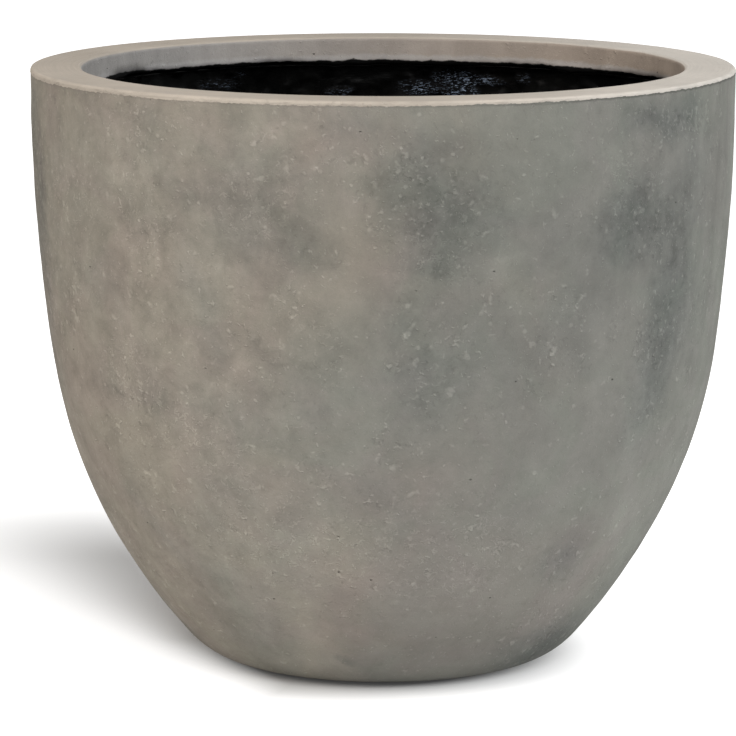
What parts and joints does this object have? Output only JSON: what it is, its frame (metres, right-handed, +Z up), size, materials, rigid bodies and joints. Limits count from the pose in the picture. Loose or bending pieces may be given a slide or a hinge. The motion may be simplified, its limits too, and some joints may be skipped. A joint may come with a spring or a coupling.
{
  "type": "concrete planter",
  "caption": "Round concrete floor planter with a thick flat rim, a curved wall narrowing to a small base, a black sealed inside and a pull-out drain plug.",
  "frame": {"origin": "middle of the standing face of the base, on the floor", "axes": "+Z is up, along the planter's axis of revolution"},
  "size_m": [0.6, 0.5999, 0.51],
  "materials": {
    "concrete": "matte",
    "laminate": "matte",
    "coat": "gloss",
    "rubber": "matte"
  },
  "bodies": {
    "pot": {"concrete_shell": "concrete", "fibre_liner": "laminate", "seal_coat": "coat"},
    "plug": {"drain_plug": "rubber"}
  },
  "joints": [
    {"name": "plug_pull", "type": "slide", "parent": "pot", "child": "plug", "axis": [0, 0, 1], "range_m": [0, 0.53]}
  ]
}
